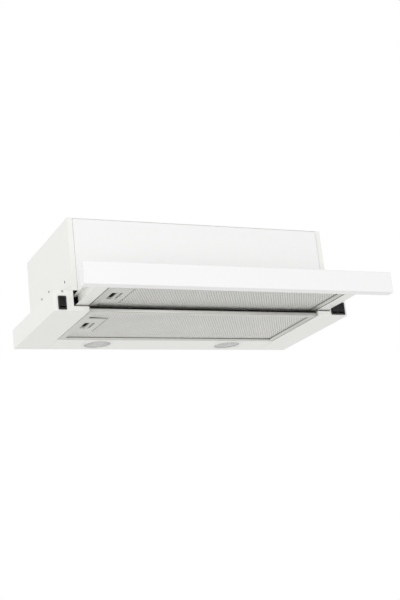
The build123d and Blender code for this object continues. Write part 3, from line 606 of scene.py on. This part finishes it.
def latchMesh(name, low, high, which, sizes):
    # Height over the plate's plan: face + pocketDepth * step(inside the rounded pocket) - bead around it
    px, py, halfX, halfY = pocketOf(which)
    steps = np.array([0.25, 0.5, 0.8, 1.2, 1.8, 2.4, 3, 4])
    offsets = np.concatenate([-steps[::-1], [0], steps]) * mm
    edges = np.array([0, 0.3, 0.7, 1.2, 2.0]) * mm

    def lines(start, end, middle, half):
        near = np.concatenate([middle - half + offsets, middle + half + offsets, start + edges, end - edges])
        every = np.concatenate([np.linspace(start, end, 24), near])
        every = np.sort(every[(every >= start) & (every <= end)])
        return every[np.concatenate([[True], np.diff(every) > 0.05 * mm])]

    gx, gy = np.meshgrid(lines(low.x, high.x, px, halfX), lines(low.y, high.y, py, halfY), indexing="ij")
    away = roundedBoxDistance(gx - px, gy - py, halfX, halfY, sizes["corner"] * mm)
    sunk = smoothStep(0.5 - away / (sizes["wallSlope"] * mm)) * sizes["pocketDepth"]
    bead = np.exp(-((away - sizes["beadWidth"] * mm) / (0.5 * sizes["beadWidth"] * mm)) ** 2) * sizes["bead"]
    border = np.minimum(np.minimum(gx - low.x, high.x - gx), np.minimum(gy - low.y, high.y - gy))
    turned = (1 - smoothStep(border / (1.2 * mm))) * sizes["turnIn"]
    gz = low.z + (sunk - bead + turned) * mm
    return meshFrom(name, np.stack([gx, gy, gz], -1).reshape(-1, 3), gridFaces(*gx.shape)[:, ::-1])


def barMesh(name, low, high, axis, corner):
    # A bar along one axis with a rounded rectangle for its section, closed at both ends
    low, high = np.array(low), np.array(high)
    across = [k for k in range(3) if k != axis]
    middle, half = (low + high)[across] / 2, (high - low)[across] / 2 - corner
    quarters = [(1, 1, 0), (-1, 1, 90), (-1, -1, 180), (1, -1, 270)]
    ring = np.vstack([
        np.array(arcPoints((middle[0] + a * half[0], middle[1] + b * half[1]), corner, start, start + 90, 4))
        for a, b, start in quarters
    ])
    n = len(ring)
    points = np.zeros((2 * n, 3))
    points[:, across] = np.tile(ring, (2, 1))
    points[:, axis] = np.repeat([low[axis], high[axis]], n)
    caps = [tuple(range(n)), tuple(range(2 * n - 1, n - 1, -1))]
    mesh = bpy.data.meshes.new(name)
    mesh.from_pydata(points.tolist(), [], caps + [(i, i + n, (i + 1) % n + n, (i + 1) % n) for i in range(n)])
    sealMesh(mesh)
    return mesh


def paintedShadeBlockMesh(name, which, faceZ, sizes):
    # The black block beside the lever, painted shade deep in the pocket: a rounded block whose ends fall away by a
    # quarter circle
    leverLow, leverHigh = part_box(f"{which}_latch_lever")
    right = leverHigh.x - (sizes["leverWidth"] + sizes["leverPlay"]) * mm
    front, rear = leverLow.y + sizes["shadeBlockInset"] * mm, leverHigh.y - sizes["shadeBlockInset"] * mm
    width, steps = sizes["shadeBlockWidth"] * mm, sizes["shadeBlockSteps"]
    tall = (sizes["pocketDepth"] - sizes["shadeBlockDepth"] - sizes["shadeBlockRoof"]) * mm
    turn = np.linspace(0, math.pi, steps)
    y = (front + rear) / 2 - (rear - front) / 2 * np.cos(turn)
    drop = tall * (1 - np.clip(np.sin(turn), 0, 1) ** 0.5)
    low, back = faceZ + sizes["shadeBlockDepth"] * mm + drop, faceZ + sizes["shadeBlockDepth"] * mm + tall
    high = np.full(steps, back) + sizes["shadeBlockSink"] * mm
    corners = [(right - width, low), (right, low), (right, high), (right - width, high)]
    points = np.stack([np.stack([np.full(steps, x), y, z], -1) for x, z in corners], 1)
    mesh = meshFrom(name, points.reshape(-1, 3), gridFaces(steps, 4, ring=True))
    sealMesh(mesh)
    return mesh


def tabMesh(name, start, reach, middleY, width, z, thick):
    # A hook: a rounded nose section carried along Y, with its two ends closed
    nose = arcPoints((reach - thick / 2, thick / 2), thick / 2, -90, 90, 7)
    section = np.array([(0, 0)] + nose + [(0, thick)]) * mm
    ends = np.array([-width / 2, width / 2]) * mm
    points = np.stack([
        np.tile(start + section[:, 0], 2),
        np.repeat(middleY + ends, len(section)),
        np.tile(z + section[:, 1], 2),
    ], -1)
    n = len(section)
    caps = [tuple(range(n)), tuple(range(2 * n - 1, n - 1, -1))]
    walls = [(i, i + n, (i + 1) % n + n, (i + 1) % n) for i in range(n)]
    mesh = bpy.data.meshes.new(name)
    mesh.from_pydata(points.tolist(), [], caps + walls)
    sealMesh(mesh)
    return mesh


# Black cords beside the frames, painted shade for the dark gap along each filter's sides, mm: how far each lies
# behind its frame's face, and the gap at its ends
paintedShadeCordSettings = {"width": 0.85, "tall": 4.0, "tray": 0.15, "fixed": 0.8, "corner": 0.2, "endGap": 1.0}


def paintedShadeCords(which, low, high):
    # One black cord of painted shade on each side, from the frame's front to its back
    s = paintedShadeCordSettings
    node = "tray_rear_member" if which == "tray" else "lamp_panel"
    for side, edge in (("left", low[0]), ("right", high[0] - s["width"] * mm)):
        start = (edge, low[1] + s["endGap"] * mm, low[2] + s[which] * mm)
        end = (edge + s["width"] * mm, high[1] - s["endGap"] * mm, low[2] + s["tall"] * mm)
        cord = barMesh("painted_shade_cord", start, end, 1, s["corner"] * mm)
        addPiece(f"{which}_{side}_seal", cord, node, slot="nylon")


# Painted shade: a black strip on the fixed filter's front wall, which the tray passes over, mm
paintedShadeStripSettings = {"tall": 2.6, "thick": 0.5, "inset": 2.0, "below": 0.4, "corner": 0.2, "sink": 0.2}


def paintedShadeStrip():
    # A black strip of painted shade along the top of the wall, sunk a little into it
    s = paintedShadeStripSettings
    low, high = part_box("fixed_filter_frame")
    start = (low.x + s["inset"] * mm, low.y - s["thick"] * mm, high.z - (s["tall"] + s["below"]) * mm)
    end = (-low.x - s["inset"] * mm, low.y + s["sink"] * mm, high.z - s["below"] * mm)
    strip = barMesh("painted_shade_strip", start, end, 0, s["corner"] * mm)
    addPiece("fixed_front_painted_shade", strip, "fixed_filter_frame", slot="nylon")


hookSettings = {"reach": 3.0, "width": 14.0, "inset": 40.0, "thick": 1.2, "above": 1.2, "root": 0.5}


def hookPieces(which, node, low, high):
    # Two hooks on the frame's right side, as far from its front as from its back
    s = hookSettings
    for index, inset in enumerate((s["inset"], (high[1] - low[1]) / mm - s["inset"])):
        start, middleY, z = high[0] - s["root"] * mm, low[1] + inset * mm, low[2] + s["above"] * mm
        hook = tabMesh("hook", start, s["reach"], middleY, s["width"], z, s["thick"])
        addPiece(f"{which}_hook_{index + 1}", hook, node)


def rivetMesh(plateLow, plateHigh, sizes):
    # A domed head: at share t of its radius it stands rivetRise * sqrt(1 - t^2) proud
    radius, rise, sink = sizes["rivet"], sizes["rivetRise"], sizes["rivetSink"]
    inset = sizes["rivetInset"] * mm
    dome = [(0, -rise), *[(radius * t, -rise * math.sqrt(1 - t * t)) for t in (0.3, 0.55, 0.75, 0.9, 1)]]
    at = (plateHigh.x - inset, plateLow.y + inset, plateLow.z)
    return turnedMesh("rivet", dome + [(radius, sink), (0, sink)], at, 24, closed=False)


def filterPieces(which):
    # Frame with black cords of painted shade beside it, two perforated sheets with the foil between them, latch
    # plate with its black block of painted shade, hooks and rivet
    s = filterSettings
    parts = ("filter_frame", "filter_mesh", "latch_plate")
    frameNode, meshNode, plateNode = (f"{which}_{part}" for part in parts)
    low, high = (np.array(corner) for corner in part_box(frameNode))
    plateLow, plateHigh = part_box(plateNode)
    high[0] = -low[0]  # the box without the hooks
    paintedShadeCords(which, low, high)
    low[0] += s["sideGap"] * mm
    high[0] -= s["sideGap"] * mm
    channel = frameMesh("channel", low, high, s)
    thicken(addPiece(f"{which}_filter_channel", channel, frameNode, replaced=(frameNode,)), s["foil"])
    hidden = s["pitch"] * mm / 2
    gap = (low[0], plateHigh.x + hidden, plateLow.y - s["slit"] * mm, plateHigh.y + hidden)
    for level, facing, cut, replaced in (("lower", -1, gap, (meshNode,)), ("upper", 1, None, ())):
        skin = perforatedMesh(f"{which}_{level}", low, high, s, facing, cut)
        thicken(addPiece(f"{which}_{level}_sheet", skin, meshNode, replaced=replaced), s["sheet"])
    core = coreMesh("core", low, high, s, gap)
    thicken(addPiece(f"{which}_filter_core", core, meshNode, material=foilInPaintedShade), s["coreSheet"])
    plate = latchMesh("plate", plateLow, plateHigh, which, latchSettings)
    pressed = addPiece(f"{which}_pressed_plate", plate, plateNode, replaced=(plateNode,))
    thicken(pressed, latchSettings["sheet"])
    painted_shade_block = paintedShadeBlockMesh("painted_shade_block", which, plateLow.z, latchSettings)
    addPiece(f"{which}_latch_painted_shade", painted_shade_block, plateNode, slot="nylon")
    hookPieces(which, frameNode, low, high)
    addPiece(f"{which}_plate_rivet", rivetMesh(plateLow, plateHigh, latchSettings), plateNode)


for which in ("fixed", "tray"):
    filterPieces(which)
paintedShadeStrip()
print("filters made")


lampSettings = {
    "flange": 1.2, "collar": 8.0, "opening": 26.0, "outer": 31.0, "collarWall": 1.8,
    "glass": 25.8, "glassRim": 2.5, "glassDrop": 0.5, "rings": 7, "ringHeight": 0.35,
    "cupTop": 12.6, "cupWall": 0.8, "cupGap": 0.1, "bulb": 9.0, "bulbLength": 13.0,
    "innerRound": 0.9, "innerDrop": 0.3, "outerRound": 1.1, "outerDrop": 0.1,
    "prismBack": 0.4, "prismReach": 0.97,
}


def lampPieces(side):
    s = lampSettings
    low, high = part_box(f"{side}_lamp_bezel")
    middle = Vector(((low.x + high.x) / 2, (low.y + high.y) / 2, low.z + s["flange"] * mm))
    collar = s["opening"] + s["collarWall"]
    bezel = (
        [(s["opening"], s["collar"])]
        + arcPoints((s["opening"] + s["innerRound"], -s["innerDrop"]), s["innerRound"], 180, 270)
        + arcPoints((s["outer"] - s["outerRound"], -s["outerDrop"]), s["outerRound"], 270, 360)
        + [(s["outer"], 0), (collar, 0), (collar, s["collar"])]
    )
    addPiece(f"{side}_bezel_ring", turnedMesh("bezel", bezel, middle, 128), f"{side}_lamp_bezel",
             replaced=(f"{side}_lamp_bezel",))

    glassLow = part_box(f"{side}_lamp_lens")[0].z
    at = Vector((middle.x, middle.y, glassLow))
    share = np.linspace(0, 1, 15)
    face = [(s["glass"] * t, -s["glassDrop"] * (1 - t * t)) for t in share]
    back, turns = s["glassRim"] - s["prismBack"], 2 * math.pi * s["rings"]
    prisms = [
        (s["glass"] * t, back + s["ringHeight"] * math.cos(turns * t))
        for t in np.linspace(s["prismReach"], 0, 57)
    ]
    glass = face + [(s["glass"], s["glassRim"])] + prisms
    addPiece(f"{side}_lamp_glass", turnedMesh("glass", glass, at, 96, closed=False), f"{side}_lamp_lens",
             replaced=(f"{side}_lamp_lens",), sharp=50)

    cupLow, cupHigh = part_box(f"{side}_lamp_cup")
    tall = (cupHigh.z - cupLow.z) / mm
    radii = np.linspace(s["glass"] - s["cupGap"], s["cupTop"], 14)
    bowl = [(r, tall * (1 - ((r - s["cupTop"]) / (s["glass"] - s["cupTop"])) ** 2)) for r in radii]
    inside = [(max(r - s["cupWall"], 0), max(h - s["cupWall"], 0)) for r, h in bowl]
    cup = bowl + [(0, tall), (0, tall - s["cupWall"])] + inside[::-1]
    above = Vector((middle.x, middle.y, cupLow.z))
    addPiece(f"{side}_reflector", turnedMesh("cup", cup, above, 72), f"{side}_lamp_cup",
             replaced=(f"{side}_lamp_cup",))

    tip = tall - s["cupWall"] - s["bulbLength"]
    nose = [
        (s["bulb"] * math.sin(a), tip + s["bulb"] * (1 - math.cos(a)))
        for a in np.linspace(0.25, math.pi / 2, 7)
    ]
    capsule = [(0, tip)] + nose + [(s["bulb"], tall - s["cupWall"]), (0, tall - s["cupWall"])]
    frosted = turnedMesh("capsule", capsule, above, 40, closed=False)
    addPiece(f"{side}_lamp_capsule", frosted, f"{side}_lamp_lens", material=lampMaterial)


for side in ("left", "right"):
    lampPieces(side)
print("lamps made")


screwSettings = {
    "crossLong": 0.62,     # shares of the head's radius
    "crossWide": 0.17,
    "shankShare": 0.62,
    "crossDepth": 0.55,    # share of the head's height
    "sides": 48,
    "head": 1.4,           # greatest height of a head, mm
    "longest": 6.0,        # a screw this short may be wider than it is long
}


def islandBoxes(node):
    # Each corner takes the lowest number among its triangles' corners until nothing changes, so each solid
    # ends with one number
    work = bmesh.new()
    work.from_mesh(frame["nodes"][node].data)
    bmesh.ops.remove_doubles(work, verts=work.verts, dist=0.002 * mm)
    points = np.array([v.co for v in work.verts])
    faces = np.array([[v.index for v in f.verts] for f in work.faces])
    work.free()
    label = np.arange(len(points))
    while True:
        spread = label.copy()
        np.minimum.at(spread, faces.ravel(), np.repeat(label[faces].min(1), faces.shape[1]))
        if (spread == label).all():
            break
        label = spread
    return [(points[label == k].min(0), points[label == k].max(0)) for k in np.unique(label)]


def screwMesh(name, seat, outward, radius, head, shank):
    # A turned pan head and shank; a cross, two crossed bars, sinks its top by crossDepth
    s = screwSettings
    share = np.concatenate([np.linspace(0, 0.94, 17), [0.98, 1.0]])
    top = [(radius * t, head * (0.45 + 0.55 * math.sqrt(max(1 - t ** 2.4, 0)))) for t in share]
    below = [(radius, 0), (radius * s["shankShare"], 0), (radius * s["shankShare"], -shank), (0, -shank)]
    profile = np.array(top + below)
    angle = np.arange(s["sides"]) * 2 * math.pi / s["sides"]
    x, y = profile[:, :1] * np.cos(angle), profile[:, :1] * np.sin(angle)
    z = np.repeat(profile[:, 1:], s["sides"], 1)
    plan = np.abs(np.stack([x, y])) / radius
    bars = np.maximum(plan / s["crossLong"], plan[::-1] / s["crossWide"])
    cross = smoothStep(3.0 * (1.15 - bars.min(0)))
    z[:len(top)] -= (cross * s["crossDepth"] * head)[:len(top)]
    normal = Vector(outward)
    across = normal.orthogonal().normalized()
    basis = np.array([across, normal.cross(across), normal])
    points = np.stack([x, y, z], -1).reshape(-1, 3) * mm @ basis + np.array(seat)
    mesh = meshFrom(name, points, gridFaces(len(profile), s["sides"], ring=True))
    sealMesh(mesh)
    return mesh


def screwPieces(node, name):
    # The head is at the end that faces out of the hood: sideways, to the front or upwards
    for index, (low, high) in enumerate(islandBoxes(node)):
        size, middle = high - low, (low + high) / 2
        axis = int(np.argmax(size)) if size.max() > screwSettings["longest"] * mm else int(np.argmin(size))
        sign = {0: np.sign(middle[0]), 1: -1.0, 2: 1.0}[axis]
        outward = np.eye(3)[axis] * sign
        radius = np.delete(size, axis).max() / 2 / mm
        head = min(screwSettings["head"], size[axis] / mm)
        seat = middle + outward * (size[axis] / 2 - head * mm)
        shank = max(size[axis] / mm - head, 0.1)
        screw = screwMesh(name, seat, outward, radius, head, shank)
        addPiece(f"{name}_{index + 1}", screw, node, replaced=(node,) if index == 0 else ())


screwPieces("casing_screws", "casing_screw")
screwPieces("blower_screws", "blower_screw")
print("screws made")


studioSettings = {
    "floor": 2.3,          # metres under the ears
    "floorSize": 8.0,
    "fade": (2.6, 3.9),    # from the origin, where the floor turns white
    "around": 0.94,        # strength of the light from all round
    "overhead": 0.62,      # and of the part that comes from straight above
    "lampPower": 20.0,
    "lampSize": (2.4, 1.6),
    "lampPlace": (-1.4, -2.7, -0.4),
}


def studio():
    s = studioSettings
    size = s["floorSize"]
    corners = np.array([(-1, -1), (1, -1), (1, 1), (-1, 1)]) * size / 2
    mesh = meshFrom("floor", np.hstack([corners, np.full((4, 1), -s["floor"])]), [[0, 1, 2, 3]])
    floor = bpy.data.objects.new("studio_floor", mesh)
    bpy.context.scene.collection.objects.link(floor)
    made, tree, shader, place = startMaterial("paleFloor", {"Roughness": 0.9, "Specular IOR Level": 0.1})
    soft = addNode(tree, "TexNoise", sockets={"Vector": place, "Scale": 0.8})
    pale = addNode(tree, "MixRGB", sockets={
        "Fac": soft.outputs["Fac"], "Color1": linearFromHex("f4f4f3"), "Color2": linearFromHex("f0f0ef"),
    })
    tree.links.new(pale.outputs["Color"], shader.inputs["Base Color"])
    # Further out the floor turns into the white background, for the camera alone
    far = addNode(tree, "VectorMath", {"operation": "LENGTH"}, {"Vector": place})
    fade = addNode(tree, "MapRange", sockets={
        "Value": far.outputs["Value"], "From Min": s["fade"][0], "From Max": s["fade"][1],
    })
    lit = addNode(tree, "Math", {"operation": "MULTIPLY"})
    tree.links.new(fade.outputs["Result"], lit.inputs[0])
    tree.links.new(addNode(tree, "LightPath").outputs["Is Camera Ray"], lit.inputs[1])
    glow = addNode(tree, "Emission", sockets={"Strength": 1.0})
    both = addNode(tree, "MixShader", sockets={"Fac": lit.outputs[0]})
    tree.links.new(shader.outputs["BSDF"], both.inputs[1])
    tree.links.new(glow.outputs["Emission"], both.inputs[2])
    output = next(node for node in tree.nodes if node.bl_idname == "ShaderNodeOutputMaterial")
    tree.links.new(both.outputs["Shader"], output.inputs["Surface"])
    mesh.materials.append(made)

    world = bpy.data.worlds.new("studio")
    bpy.context.scene.world = world
    world.use_nodes = True
    tree = world.node_tree
    tree.nodes.clear()
    rays = addNode(tree, "LightPath")
    seen = addNode(tree, "Math", {"operation": "MAXIMUM"})
    tree.links.new(rays.outputs["Is Camera Ray"], seen.inputs[0])
    tree.links.new(rays.outputs["Is Glossy Ray"], seen.inputs[1])
    clear = addNode(tree, "Math", {"operation": "MAXIMUM"})
    tree.links.new(seen.outputs[0], clear.inputs[0])
    tree.links.new(rays.outputs["Is Transmission Ray"], clear.inputs[1])
    towards = addNode(tree, "TexCoord").outputs["Generated"]
    direction = addNode(tree, "SeparateXYZ", sockets={"Vector": towards})
    diffuse = addNode(tree, "MapRange", sockets={
        "Value": direction.outputs["Z"], "To Min": s["around"], "To Max": s["overhead"],
    })
    strength = addNode(tree, "MapRange", sockets={
        "Value": clear.outputs[0], "To Min": diffuse.outputs["Result"], "To Max": 1.0,
    })
    back = addNode(tree, "Background", sockets={
        "Color": (1, 1, 1, 1), "Strength": strength.outputs["Result"],
    })
    addNode(tree, "OutputWorld", sockets={"Surface": back.outputs["Background"]})

    lamp = bpy.data.lights.new("front_softbox", "AREA")
    lamp.shape = "RECTANGLE"
    lamp.size, lamp.size_y = s["lampSize"]
    lamp.energy = s["lampPower"]
    holder = bpy.data.objects.new("front_softbox", lamp)
    bpy.context.scene.collection.objects.link(holder)
    holder.location = s["lampPlace"]
    holder.rotation_euler = (Vector((0, 0, 0)) - holder.location).to_track_quat("-Z", "Y").to_euler()


# Seen from below and in front of the left corner
cameraSettings = {
    "place": (-0.8966, -1.9234, -0.5828), "yaw": 26.152, "pitch": 15.942, "roll": -6.313, "lens": 67.389,
    "sensor": 36,
}


def camera():
    # Yaw and pitch aim it, and roll turns it about its own line of sight
    s = cameraSettings
    yaw, pitch, roll = (math.radians(s[name]) for name in ("yaw", "pitch", "roll"))
    ahead = Vector((math.sin(yaw) * math.cos(pitch), math.cos(yaw) * math.cos(pitch), math.sin(pitch)))
    level = Vector((math.cos(yaw), -math.sin(yaw), 0))
    above = level.cross(ahead)
    right = math.cos(roll) * level + math.sin(roll) * above
    up = math.cos(roll) * above - math.sin(roll) * level
    data = bpy.data.cameras.new("camera")
    data.lens, data.sensor_width = s["lens"], s["sensor"]
    data.clip_start, data.clip_end = 0.05, 100
    eye = bpy.data.objects.new("camera", data)
    bpy.context.scene.collection.objects.link(eye)
    turn = Matrix((right, up, -ahead)).transposed().to_4x4()
    eye.matrix_world = Matrix.Translation(s["place"]) @ turn
    bpy.context.scene.camera = eye


studio()
camera()
bpy.context.scene.view_settings.view_transform = "Standard"
print("studio ready")
